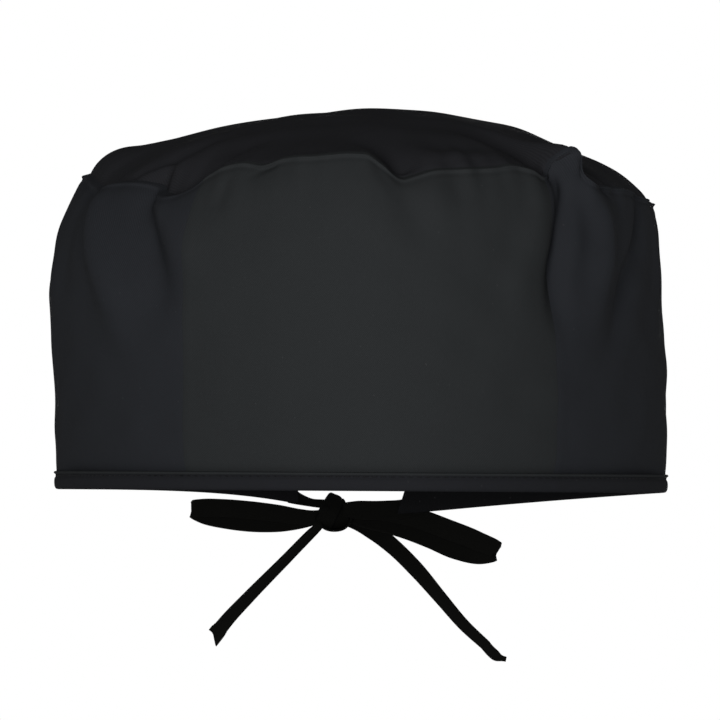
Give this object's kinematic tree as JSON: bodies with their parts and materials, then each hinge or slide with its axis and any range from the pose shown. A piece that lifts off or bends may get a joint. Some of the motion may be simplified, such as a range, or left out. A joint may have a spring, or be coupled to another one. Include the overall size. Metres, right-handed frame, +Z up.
{
  "type": "chef cap",
  "caption": "Low black tie-back chef's cap: straight panelled band, domed crown gathered into it, stitched hem, back casing with ties knotted in a bow",
  "frame": {"origin": "middle of the head opening, in the plane of the front hem", "axes": "+Z up out of the crown, -Y the wearer's front, +X to the right of someone who faces the cap"},
  "size_m": [0.1888, 0.2208, 0.1695],
  "materials": {
    "twill": "matt black cotton-blend twill",
    "crown_twill": "matt black cotton-blend twill",
    "towelling": "soft black towelling",
    "lining_tape": "plain black bias tape",
    "tie_tape": "dense black flat tape",
    "thread": "black sewing thread"
  },
  "bodies": {
    "cap": {"front_panel": "twill", "left_side_panel": "twill", "right_side_panel": "twill", "crown_panel": "crown_twill", "front_hem": "twill", "forehead_sweatband": "towelling", "crown_seam_binding": "lining_tape", "left_panel_seam_binding": "lining_tape", "right_panel_seam_binding": "lining_tape", "back_seam_binding": "lining_tape", "back_opening_binding": "lining_tape", "slit_bar_tack": "thread", "left_back_casing": "twill", "left_tie_in_casing": "tie_tape", "left_casing_bar_tack": "thread", "right_back_casing": "twill", "right_tie_in_casing": "tie_tape", "right_casing_bar_tack": "thread"},
    "bow": {"bow_knot": "tie_tape", "left_tie_lead": "tie_tape", "right_tie_lead": "tie_tape"},
    "left_loop": {"left_bow_loop": "tie_tape"},
    "right_loop": {"right_bow_loop": "tie_tape"},
    "left_tail": {"left_tie_tail": "tie_tape", "left_tie_tip": "tie_tape"},
    "right_tail": {"right_tie_tail": "tie_tape", "right_tie_tip": "tie_tape"}
  },
  "joints": [
    {"name": "bow_swing", "type": "hinge", "parent": "cap", "child": "bow", "pos_m": [-0.0023, 0.10275, -0.002], "axis": [1, 0, 0], "range_deg": [-3, 70], "stiffness_Nm_per_rad": 0.004},
    {"name": "left_loop_droop", "type": "hinge", "parent": "bow", "child": "left_loop", "pos_m": [-0.0083, 0.1086, -0.0059], "axis": [0, -1, 0], "range_deg": [-12, 20], "stiffness_Nm_per_rad": 0.003},
    {"name": "right_loop_droop", "type": "hinge", "parent": "bow", "child": "right_loop", "pos_m": [-0.0083, 0.1086, -0.0059], "axis": [0, 1, 0], "range_deg": [-12, 20], "stiffness_Nm_per_rad": 0.003},
    {"name": "left_tail_swing", "type": "hinge", "parent": "bow", "child": "left_tail", "pos_m": [-0.0083, 0.1086, -0.0059], "axis": [0, -1, 0], "range_deg": [-25, 35], "stiffness_Nm_per_rad": 0.003},
    {"name": "right_tail_swing", "type": "hinge", "parent": "bow", "child": "right_tail", "pos_m": [-0.0083, 0.1086, -0.0059], "axis": [0, 1, 0], "range_deg": [-25, 35], "stiffness_Nm_per_rad": 0.003}
  ]
}
